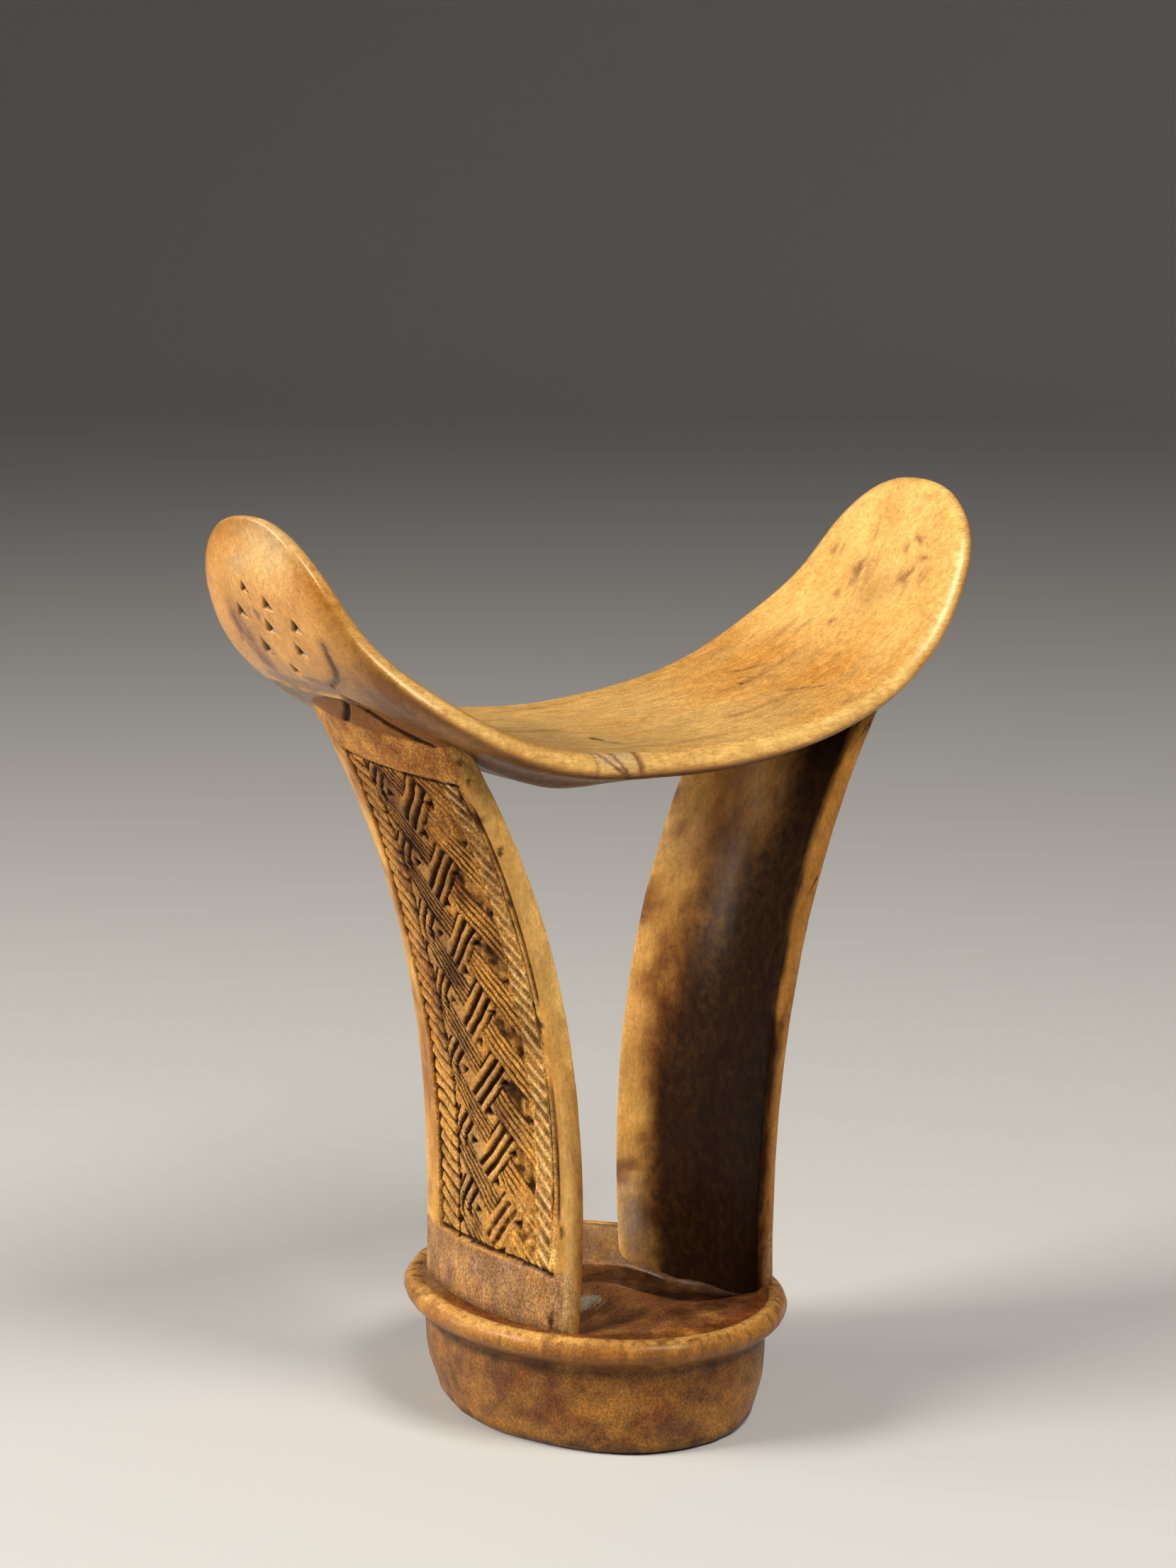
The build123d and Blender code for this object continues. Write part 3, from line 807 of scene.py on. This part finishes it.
def post_masks(a, v, z, relief, dirt, light, inner, dusky, where, seed):
    """How each point of a post is coloured. dusky says that it is the right post."""
    outer = 1 - inner
    cloud = fractal(where, (9, 9, 16), seed + 31)
    mottle = fractal(where, (4.5, 4.5, 7), seed + 34)
    speck = noise(where, (2.2, 2.2, 3.6), seed + 32)
    streak = fractal(where, (2.4, 2.4, 26), seed + 33)
    fleck = noise(where, (0.8, 0.8, 1.2), seed + 35)

    # the outer face and the edges
    edge = ramp(0.955, 0.99, np.abs(v))
    carved = ramp(0.04, 0.14, -relief) * outer
    field = window(a, 6, 9, 42.6, 43.6) * outer
    field = field * window(z, FIELD_LOW_Z - 0.4, FIELD_LOW_Z + 0.4, FIELD_HIGH_Z - 1, FIELD_HIGH_Z)
    smooth = outer * (1 - field)
    top_band = ramp(FIELD_HIGH_Z - 2, FIELD_HIGH_Z + 1, z) * outer
    foot_band = ramp(FIELD_LOW_Z + 0.5, FIELD_LOW_Z - 1, z) * outer
    front_strip = ramp(42.5, 44, a) * outer
    back_strip = ramp(9, 5, a) * outer
    right_hatch = ramp(38.2, 38.8, a)
    scored = blob(a, 0 * z, (21.5, 0), (4.5, 1)) * field
    sooty = blob(a, z, (23, 114), (7, 18)) * field
    worn_low = ramp(84, 48, z) * field
    plain = field * (1 - unit(light * 1.3)) * (1 - dirt)
    chips = unit(fleck + 0.5 * speck - 0.15)
    collar = ramp(-0.2, 0.4, z - collar_low(a)) * outer
    foot_line = blob(0 * z, z, (0, 24.6), (1, 1.3)) * outer
    rims = ramp(0.93, 0.965, v) * dusky    # the right post's front edge is the darker one
    dots = ramp(0.62, 0.8, noise(where, (1.7, 1.7, 3.4), seed + 36)) * ramp(40.5, 42, a) * outer

    # the inner face: a dark patina, pale along the back edge and the front arris, with a painted reflection
    # high up
    high = ramp(45, 120, z)
    strayed = v + 0.04 * cloud + 0.05 * streak
    pale_side = ramp(-0.45, -0.85 - 0.1 * high, v + 0.12 * cloud + 0.12 * mottle)
    deep = ramp(-0.88, -0.5 + 0.6 * high, strayed + (0.03 + 0.04 * high) * mottle)
    arris = ramp(1.02 - 0.17 * high, 1.1 - 0.12 * high, strayed + 0.04 * mottle)
    cleaned = ramp(92, 128, z) * ramp(0.45, -0.1, v) * (1.15 + 0.7 * mottle + 0.5 * streak)
    patina = inner * deep * (1 - arris) * (1 - 0.75 * cleaned) * (1 - edge * (not dusky))
    foot_glaze = blob(v, z, (-0.84, 27), (0.14, 8))
    # a painted reflection of the key light, grey, on the upper inner face
    painted_reflection = blob(v, z, (-0.15, 98), (0.1, 13)) + 0.8 * blob(v, z, (-0.05, 119), (0.35, 8))
    blotches = ramp(0.05, 0.55, mottle + 0.5 * speck + 0.35 * streak)
    inner_brown = 0.33 - 0.25 * unit(cleaned) + 0.35 * mottle + 0.5 * pale_side * blotches
    inner_brown += 0.3 * deep * (1 - cleaned)
    return {
        "pale": smooth * (0.15 + 0.3 * front_strip + 0.1 * foot_band + 0.2 * back_strip + 0.25 * cloud)
        + field * (0.04 + 0.22 * right_hatch + 0.46 * light * (0.75 + 0.7 * mottle) + 0.1 * worn_low)
        + field * (0.9 * chips * plain + 0.12 * mottle) + 0.22 * edge * (1 - rims) - 0.3 * rims
        + inner * (0.42 * pale_side * (1 - 0.6 * blotches) + 0.35 * arris + 0.15 * cloud),
        "brown": field * (0.56 + 0.36 * ramp(100, 120, z) - 0.25 * right_hatch - 0.22 * worn_low)
        + field * (0.3 * mottle + 0.2 * speck - 0.15 * light)
        + smooth * (1 - edge) * (0.12 + 0.18 * front_strip + 0.3 * cloud + 0.28 * mottle)
        + smooth * (1 - edge) * ((0.55 + 0.4 * speck) * top_band + (0.7 + 0.3 * speck) * foot_band)
        + 0.7 * rims * (0.8 + 0.5 * mottle) + 0.6 * collar + inner * inner_brown * (1 - arris),
        "red": 0.2 * front_strip + 0.45 * top_band * (0.5 + cloud)
        + (0.5 * back_strip + 0.35 * foot_band) * ramp(0.0, 0.6, cloud)
        + 0.5 * field * ramp(0.05, 0.6, cloud + 0.4 * mottle) * (1 - light)
        + inner * (0.75 - 0.5 * pale_side) * ramp(-0.3, 0.6, cloud + 0.3 * speck) * (1 - arris),
        "stain": 0.75 * foot_band * blob(a, z, (15, 29), (6.5, 2.4)) * ramp(-0.5, 0.5, speck)
        + 0.35 * outer * ramp(0.5, 0.9, mottle + 0.4 * cloud) * (1 - front_strip)
        + 0.5 * inner * pale_side * ramp(0.3, 0.8, mottle + 0.4 * cloud)
        + 0.1 * scored * (1 - light) + 0.15 * foot_band,
        # the grey on the right hatch's ridges is a painted highlight
        "grey": 0.14 * foot_band + field * (0.08 * scored * (1 - dirt) + 0.25 * light * ramp(38.3, 38.7, a))
        + inner * (0.6 * foot_glaze * (0.8 + 0.3 * fleck) + 0.4 * painted_reflection * (0.6 + 0.5 * mottle)),
        "dark": 0.98 * ramp(0.1, 0.62, dirt) + 0.42 * sooty * (0.7 + 0.5 * mottle) + 0.22 * scored
        + patina * (0.97 - 0.3 * painted_reflection) + 0.6 * foot_line + 0.25 * collar + 0.8 * dots
        + 0.25 * field * ramp(0.1, 0.6, mottle) * (1 - light),
        "grit": 0.15 + 0.6 * field * (1 - 0.6 * light) + 0.5 * (foot_band + top_band) * (1 - collar)
        - 0.1 * front_strip,
        "polish": 0.5 + 0.35 * (edge + light * field) + 0.3 * (front_strip - carved) - 0.9 * patina,
    }


def post_cap(first, outer_count, inner_count, ratio, around):
    """Closes one end of a post with a strip from the outer face to the inner one."""
    edge = (around - outer_count - inner_count) // 2
    outer = list(range(first, first + outer_count))
    front = list(range(first + outer_count, first + outer_count + edge))
    inner = list(range(first + outer_count + edge, first + outer_count + edge + inner_count))[::-1]
    back = list(range(first + around - edge, first + around))
    faces = []
    for i in range(inner_count - 1):
        faces.append(outer[ratio * i:ratio * (i + 1) + 1] + [inner[i + 1], inner[i]])
    faces.append([outer[-1]] + front + [inner[-1]])
    faces.append([inner[0]] + back + [outer[0]])
    return faces


# ---- base ----
def base_rings():
    """Semi-axes and height of each ring, from under the foot up over the rim and in to the middle."""
    low_x, low_y = FOOT_RX - FOOT_ROUND, FOOT_RY - FOOT_ROUND
    rings = [(share * low_x, share * low_y, 0.0) for share in np.linspace(0.04, 1, UNDER_RINGS)]
    for turn in np.linspace(0, math.pi / 2, 9)[1:-1]:
        out, up = FOOT_ROUND * math.sin(turn), DRUM_HEIGHTS[0] * (1 - math.cos(turn))
        rings.append((low_x + out, low_y + out, up))
    for z in np.linspace(DRUM_HEIGHTS[0], DRUM_HEIGHTS[-1], 52)[:-1]:
        rings.append((hermite(DRUM_HEIGHTS, DRUM_RX, z), hermite(DRUM_HEIGHTS, DRUM_RY, z), z))
    for turn in np.linspace(-math.pi / 3, math.pi * 0.62, 30):
        out, up = BEAD_RADIUS * math.cos(turn), BEAD_RADIUS * math.sin(turn)
        rings.append((BEAD_RX + out, BEAD_RY + out, BEAD_Z + up))
    outside = len(rings)
    rim_x, rim_y, rim_z = rings[-1]
    for share in np.concatenate([np.linspace(1, 0.86, 26)[1:], np.linspace(0.86, 0.02, 48)[1:]]):
        rings.append((rim_x * share, rim_y * share, rim_z))
    return np.array(rings), outside


def dish_height(x, y):
    """Height of the hollowed top between the posts: a ridge from the front, scoops beside the posts."""
    hollow = hermite(*SCOOP, y)
    hollow = hollow + (hermite(*RIDGE, y) - hollow) * np.exp(-(((x - 2 - 0.04 * (y + 10)) / 9.5) ** 2))
    half = POST_FOOT_WIDTH / 2
    behind_post = np.abs(x) - outer_x(np.clip(y / half, -1, 1), 24.0) + POST_THICKNESS * 0.5
    beside = ramp(-1.2, 1.2, behind_post) * ramp(half + 2.5, half, np.abs(y))
    return hollow + (RIM_Z - hollow) * beside


def base_piece(material):
    """The oval drum with its rounded rim, worn foot and hollowed top."""
    around = BASE_AROUND
    rings, outside = base_rings()
    rx, ry, z = (np.repeat(rings[:, i], around) for i in range(3))
    turn = np.tile(np.arange(around) / around * 2 * math.pi, len(rings))
    ring = np.repeat(np.arange(len(rings)), around)
    x = rx * np.cos(turn)
    y = ry * np.sin(turn)
    where = column(x, y, z)
    inside = ring >= outside
    rim = rings[outside - 1]
    wall = ramp(0.905, 0.965, np.hypot(x / rim[0], y / rim[1]))
    floor = dish_height(x, y) + 0.18 * fractal(where, 7, 41)
    z = np.where(inside, floor * (1 - wall) + z * wall, z)
    z = z - (x - 0.4 * y) * 0.012 * ramp(12, 22, z)
    hand = 0.3 * fractal(where, (14, 14, 12), 42) + 0.12 * noise(where, (3, 3, 9), 43)
    facets = noise(column(4 * np.cos(turn), 4 * np.sin(turn), z / 30), 2.3, 44)
    hand = hand + 0.55 * facets * ramp(18, 8, z)
    outward = np.where(inside | (ring < UNDER_RINGS - 3), 0.0, 1.0) * hand / (np.hypot(x, y) + 1e-6)
    points = column(x + outward * x + BASE_SHIFT, y + outward * y, z)
    middle = float(dish_height(np.array([0.0]), np.array([0.0]))[0])
    points = np.concatenate([points, [[0, 0, 0.0], [0, 0, middle]]])
    faces = tube_quads(len(rings), around)
    low, high = len(points) - 2, len(points) - 1
    last = (len(rings) - 1) * around
    faces += [[(i + 1) % around, i, low] for i in range(around)]
    faces += [[last + i, last + (i + 1) % around, high] for i in range(around)]
    masks = base_masks(points, np.concatenate([inside * 1.0, [0, 1]]))
    return make_piece("base_carved", points, faces, "base", material, masks)


def base_masks(points, inside):
    """How each point of the base is coloured."""
    x, y, z = points.T
    outside = 1 - inside
    cloud = fractal(points, (10, 10, 7), 61)
    patch = fractal(points, (5, 5, 6), 66)
    speck = noise(points, (2.4, 2.4, 2.2), 62)
    fleck = noise(points, (0.9, 0.9, 1.4), 67)
    striae = noise(points, (1.1, 1.1, 30), 63)
    bead = ramp(18.8, 20.5, z) * outside
    drum = outside * (1 - bead)
    # a painted highlight along the crest of the bead, also smoother there
    crest_highlight = ramp(RIM_Z - 0.9, RIM_Z - 0.1, z) * outside
    # painted shade in the groove under the bead
    under_bead_shade = blob(0 * z, z, (0, 17.6), (1, 1.3)) * outside
    low = ramp(3.5, 0.5, z) * outside
    share = np.hypot((x - BASE_SHIFT) / (BEAD_RX - 1), y / (BEAD_RY - 1))
    wall = ramp(0.88, 0.93, share) * inside
    back_wall = wall * ramp(5, 16, y)
    floor = inside * (1 - wall)
    moat = blob(x, y, (21, 1), (6.5, 20)) + blob(x, y, (-19, 2), (5.0, 15))
    moat += 0.6 * blob(x, y, (6, 18), (16, 7))
    strokes = noise(points, (1.0, 5, 5), 68) + 0.5 * noise(points, (4, 1.0, 5), 69)
    smoky = ramp(8, 15, z) * drum
    left_stain = blob(y, z, (2, 14), (6, 6)) * (x < 0) * outside
    ridge = blob(x, y, (1.5, -8), (9, 22))
    scuff = ramp(0.15, 0.6, blob(x, y, (-4.6, -2.6), (2.0, 5.0))) * inside
    sooty = ramp(-0.1, 0.7, patch + 0.5 * speck + 0.4 * cloud)
    dish_dark = np.clip(0.44 + 0.55 * moat - 0.35 * ridge + 0.45 * patch, 0, 0.98)
    dish_dark *= inside * (1 - 0.75 * back_wall)
    return {
        "pale": bead * (0.04 + 0.35 * unit(striae)) + 0.6 * crest_highlight
        + drum * (0.3 * unit(patch) + 0.25 * ramp(0.25, 0.7, fleck))
        + 0.02 * back_wall + 0.45 * floor * ramp(0.25, 0.8, strokes),
        "brown": drum * (0.78 + 0.35 * cloud + 0.3 * patch) + 0.2 * smoky - 0.2 * crest_highlight
        # the bead is painted darker towards its lower side: painted shade
        + bead * (0.64 + 0.25 * ramp(RIM_Z - 1, BEAD_Z - 1, z) + 0.3 * patch)
        + 0.45 * bead * ramp(0.0, 0.6, striae) + inside * (0.55 + 0.3 * speck) + 0.3 * back_wall,
        "red": (inside - back_wall) * (0.75 + 0.4 * speck) + bead * 0.25 * ramp(0.0, 0.7, cloud)
        + drum * 0.75 * ramp(0.0, 0.6, cloud + 0.3 * speck),
        "stain": 0.5 * left_stain + drum * 0.3 * ramp(0.2, 0.7, patch + 0.3 * cloud)
        + 0.25 * inside * ramp(0.1, 0.6, speck),
        "dark": dish_dark + 0.45 * under_bead_shade + 0.5 * low + 0.3 * left_stain * (0.8 + speck) + 0.12 * smoky
        + drum * (0.1 + 0.25 * sooty),
        "grey": 0.2 * back_wall + 0.06 * floor + scuff * ramp(-0.35, 0.05, noise(points, (5, 0.7, 5), 64)),
        "grit": 0.35 + 0.3 * inside - 0.3 * back_wall + 0.25 * drum,
        "polish": 0.45 + 0.35 * bead + 0.2 * crest_highlight + 0.05 * inside,
    }


# ---- materials ----
HONEY = (0.56, 0.265, 0.046)
AMBER = (0.45, 0.185, 0.026)
# tints for the wood's stains, wear and patina, and in places for painted highlight (pale, grey) and painted
# shade (brown, dark, red)
MASK_COLOURS = (
    ("pale", (0.74, 0.47, 0.15)),
    ("brown", (0.2, 0.082, 0.018)),
    ("red", (0.2, 0.055, 0.011)),
    ("stain", (0.15, 0.052, 0.03)),
    ("grey", (0.4, 0.34, 0.25)),
    ("dark", (0.02, 0.0062, 0.0016)),
)


def add_node(tree, kind, inputs, **settings):
    """A node with its settings, and its inputs set to numbers or linked to sockets."""
    made = tree.nodes.new(kind)
    for name, value in settings.items():
        setattr(made, name, value)
    for socket, value in inputs.items():
        if isinstance(value, bpy.types.NodeSocket):
            tree.links.new(value, made.inputs[socket])
        else:
            made.inputs[socket].default_value = value
    return made


def mix_colours(tree, factor, first, second, blend="MIX"):
    """A mix of two colours, each a socket or three numbers."""
    first, second = (c if isinstance(c, bpy.types.NodeSocket) else (*c, 1) for c in (first, second))
    inputs = {0: factor, 6: first, 7: second}
    return add_node(tree, "ShaderNodeMix", inputs, data_type="RGBA", blend_type=blend).outputs[2]


def maths(tree, operation, *values, clamp=False):
    """Arithmetic on sockets and numbers."""
    inputs = dict(enumerate(values))
    return add_node(tree, "ShaderNodeMath", inputs, operation=operation, use_clamp=clamp).outputs[0]


def remap(tree, value, low, high, to_low=0.0, to_high=1.0):
    """A value moved from one range to another, and kept within it."""
    inputs = {"Value": value, "From Min": low, "From Max": high, "To Min": to_low, "To Max": to_high}
    return add_node(tree, "ShaderNodeMapRange", inputs, clamp=True).outputs["Result"]


def noise_node(tree, coordinates, scale, detail=4.0, rough=0.55, stretch=(1, 1, 1)):
    """Noise from 0 to 1, with about as many features in a metre as scale says."""
    mapping = add_node(tree, "ShaderNodeMapping", {"Vector": coordinates, "Scale": stretch})
    inputs = {"Vector": mapping.outputs[0], "Scale": scale, "Detail": detail, "Roughness": rough}
    return add_node(tree, "ShaderNodeTexNoise", inputs).outputs["Fac"]


def grey_colour(tree, value):
    """The grey that is as light as the value."""
    return add_node(tree, "ShaderNodeCombineColor", {0: value, 1: value, 2: value}).outputs[0]


def attribute(tree, name):
    """A mask on the mesh."""
    return add_node(tree, "ShaderNodeAttribute", {}, attribute_name=name).outputs["Fac"]


def new_material(name):
    """A material and its main shader."""
    material = bpy.data.materials.new(name)
    material.use_nodes = True
    return material, material.node_tree.nodes["Principled BSDF"]


def wood_material(name, stretch, roughness, fibre, blotch, gloss, glint, blotches_per_metre):
    """Old polished wood; the masks on the mesh say what is where.

    stretch squeezes the grain along one axis, and glint tints what the surface reflects.
    """
    material, shader = new_material(name)
    tree = material.node_tree

    def times(first, second):
        """Product of two values."""
        return maths(tree, "MULTIPLY", first, second)

    def times_plus(first, second, added, clamp=False):
        """Product of two values, plus a third."""
        return maths(tree, "MULTIPLY_ADD", first, second, added, clamp=clamp)

    place = add_node(tree, "ShaderNodeTexCoord", {}).outputs["Object"]
    softened = tuple(side ** 0.4 for side in stretch)
    clouds = noise_node(tree, place, 75, 3, 0.6, softened)
    patches = noise_node(tree, place, 170, 4, 0.62, softened)
    mottle = noise_node(tree, place, blotches_per_metre, 5, 0.7)
    grain = noise_node(tree, place, 1100, 4, 0.65, stretch)
    crumbs = noise_node(tree, place, 2300, 3, 0.7, (1, 1, 0.8))
    pores = noise_node(tree, place, 3000, 2, 0.5, stretch)

    # the wood's own colour, then one tint for each mask; the mottle breaks up the edges of the masks
    colour = mix_colours(tree, remap(tree, clouds, 0.3, 0.7), HONEY, AMBER)
    broken = times_plus(mottle, 1.1, -0.55)
    for mask, tint in MASK_COLOURS:
        value = attribute(tree, mask)
        edge = times(times(value, maths(tree, "SUBTRACT", 1.15, value)), 2.6)
        colour = mix_colours(tree, times_plus(broken, edge, value, clamp=True), colour, tint)

    # fibres, pores, gritty dirt whose lighter specks are painted sparkle, fine scored lines and two sizes
    # of blotches change how light it is
    fibres = remap(tree, grain, 0.3, 0.7, 1 - fibre, 1 + 0.55 * fibre)
    specks = remap(tree, pores, 0.28, 0.5, 1 - fibre, 1.0)
    sparkle = times(remap(tree, crumbs, 0.4, 0.62, -0.5, 0.85), attribute(tree, "grit"))
    from_line = maths(tree, "PINGPONG", attribute(tree, "score_line"), 0.5)
    score = times(remap(tree, from_line, 0.08, 0.28, 1.0, 0.0), attribute(tree, "score"))
    specks = times_plus(specks, times_plus(score, -0.85, sparkle), specks)
    broad, fine = (
        remap(tree, value, 0.3, 0.7, 1 - 0.15 * blotch, 1 + 0.12 * blotch) for value in (patches, mottle)
    )
    tone = times(times(fibres, specks), times(broad, fine))
    colour = mix_colours(tree, 1.0, colour, grey_colour(tree, tone), "MULTIPLY")
    tree.links.new(colour, shader.inputs["Base Color"])

    rough = times_plus(attribute(tree, "polish"), -0.34, roughness)
    rough = times_plus(maths(tree, "SUBTRACT", mottle, 0.5), 0.28, rough, clamp=True)
    tree.links.new(rough, shader.inputs["Roughness"])
    shader.inputs["Specular IOR Level"].default_value = gloss
    shader.inputs["Specular Tint"].default_value = (*glint, 1)
    shader.inputs["Coat Weight"].default_value = 0.55 * gloss
    shader.inputs["Coat Tint"].default_value = (*glint, 1)
    shader.inputs["Coat Roughness"].default_value = 0.22

    height = times_plus(mottle, 0.6 * blotch, times_plus(pores, 0.25, grain))
    height = times_plus(sparkle, 1.0, times_plus(score, -1.2, height))
    bump = add_node(tree, "ShaderNodeBump", {"Height": height, "Strength": 0.35, "Distance": 0.00022})
    tree.links.new(bump.outputs[0], shader.inputs["Normal"])
    return material


def plain_paint(name, colour):
    """A matt paint of one colour, for the floor."""
    material, shader = new_material(name)
    shader.inputs["Base Color"].default_value = (*colour, 1)
    shader.inputs["Roughness"].default_value = 0.6
    shader.inputs["Specular IOR Level"].default_value = 0.25
    return material


# ---- stage ----
CAMERA_AZIMUTH, CAMERA_ELEVATION, CAMERA_ROLL = (math.radians(turn) for turn in (-37.26, 10.99, -0.7))
CAMERA_DISTANCE = 696.1
CAMERA_AIM_Z = 75.0
CAMERA_RIGHT, CAMERA_UP = -3.04, 47.74      # how far the camera is moved in the picture's plane
CAMERA_LENS, CAMERA_SENSOR = 82.0, 36.0
LIGHTS = (                  # name, place in metres, side, watts, colour, full angle of its cone in degrees
    ("key", (-1.05, 0.26, 0.7), 0.45, 8.8, (1.0, 0.95, 0.88), 120),
    ("rim", (-1.3, 1.12, 0.42), 0.5, 3.6, (1.0, 0.96, 0.9), 100),
    ("overhead", (0.05, -0.78, 1.02), 0.5, 15.5, (1.0, 0.96, 0.9), 180),
)
LIGHT_AIM_Z = 0.09          # metres
WORLD_COLOUR, WORLD_STRENGTH = (0.8, 0.82, 0.85), 0.14
FLOOR_COLOUR = (0.5, 0.49, 0.475)
FLOOR_FLAT = 2.2            # metres, radius of the level part
FLOOR_BEND = 1.6
WALL_TOP = 4.0


def axes_matrix(right, up, back, place):
    """The matrix of an object with these axes, at a place in metres."""
    return Matrix([*np.column_stack([right, up, back, place]).tolist(), [0, 0, 0, 1]])


def add_camera():
    """A long lens from the front left, a little above the neck rest's height."""
    level = math.cos(CAMERA_ELEVATION)
    back = np.array([
        math.sin(CAMERA_AZIMUTH) * level, -math.cos(CAMERA_AZIMUTH) * level, math.sin(CAMERA_ELEVATION)
    ])
    right = np.array([math.cos(CAMERA_AZIMUTH), math.sin(CAMERA_AZIMUTH), 0.0])
    up = np.cross(back, right)
    place = np.array([0, 0, CAMERA_AIM_Z]) + CAMERA_DISTANCE * back + CAMERA_RIGHT * right + CAMERA_UP * up
    cos, sin = math.cos(CAMERA_ROLL), math.sin(CAMERA_ROLL)
    data = bpy.data.cameras.new("camera")
    data.lens = CAMERA_LENS
    data.sensor_width = CAMERA_SENSOR
    data.clip_start = 0.01
    camera = add_object("camera", data)
    camera.matrix_world = axes_matrix(cos * right - sin * up, sin * right + cos * up, back, place * MM)
    bpy.context.scene.camera = camera


def add_area(name, place, side, power, colour, spread_angle):
    """A square soft light aimed at the middle of the object."""
    data = bpy.data.lights.new(name, "AREA")
    data.size = side
    data.energy = power
    data.color = colour
    data.spread = math.radians(spread_angle)
    toward = np.array(place) - (0, 0, LIGHT_AIM_Z)
    toward = toward / np.linalg.norm(toward)
    right = np.cross([0, 0, 1.0], toward)
    right = right / np.linalg.norm(right)
    add_object(name, data).matrix_world = axes_matrix(right, np.cross(toward, right), toward, place)


def add_floor():
    """A wide pale floor that rises on all sides into a backdrop, without a visible corner."""
    profile = [(share * FLOOR_FLAT, 0.0) for share in (0.1, 0.3, 0.6, 1.0)]
    for turn in np.linspace(0, math.pi / 2, 17)[1:]:
        profile.append((FLOOR_FLAT + FLOOR_BEND * math.sin(turn), FLOOR_BEND * (1 - math.cos(turn))))
    profile.append((profile[-1][0], WALL_TOP))
    around = 96
    points = [
        (r * math.cos(2 * math.pi * i / around), r * math.sin(2 * math.pi * i / around), z)
        for r, z in profile
        for i in range(around)
    ]
    faces = tube_quads(len(profile), around) + [list(range(around))[::-1]]
    mesh = bpy.data.meshes.new("floor")
    mesh.from_pydata(points, [], [face[::-1] for face in faces])
    mesh.shade_smooth()
    mesh.materials.append(plain_paint("floor_paint", FLOOR_COLOUR))
    add_object("floor", mesh)


def add_world():
    """A dim even light from all sides."""
    world = bpy.data.worlds.new("studio")
    world.use_nodes = True
    background = world.node_tree.nodes["Background"]
    background.inputs["Color"].default_value = (*WORLD_COLOUR, 1)
    background.inputs["Strength"].default_value = WORLD_STRENGTH
    bpy.context.scene.world = world


rest_piece(wood_material("rest_wood", (0.2, 1, 1), 0.54, 0.26, 0.8, 0.4, (1.0, 0.78, 0.52), 600))
post_wood = wood_material("post_wood", (1, 1, 0.4), 0.62, 0.22, 1.0, 0.07, (1.0, 0.66, 0.38), 420)
post_piece("left_post_carved", -1, "left_post", post_wood, 21)
post_piece("right_post_carved", 1, "right_post", post_wood, 52)
base_piece(wood_material("base_wood", (1, 1, 0.35), 0.6, 0.2, 1.0, 0.24, (1.0, 0.72, 0.42), 420))
bpy.context.scene.view_settings.view_transform = "Standard"
add_camera()
add_floor()
add_world()
for light_row in LIGHTS:
    add_area(*light_row)
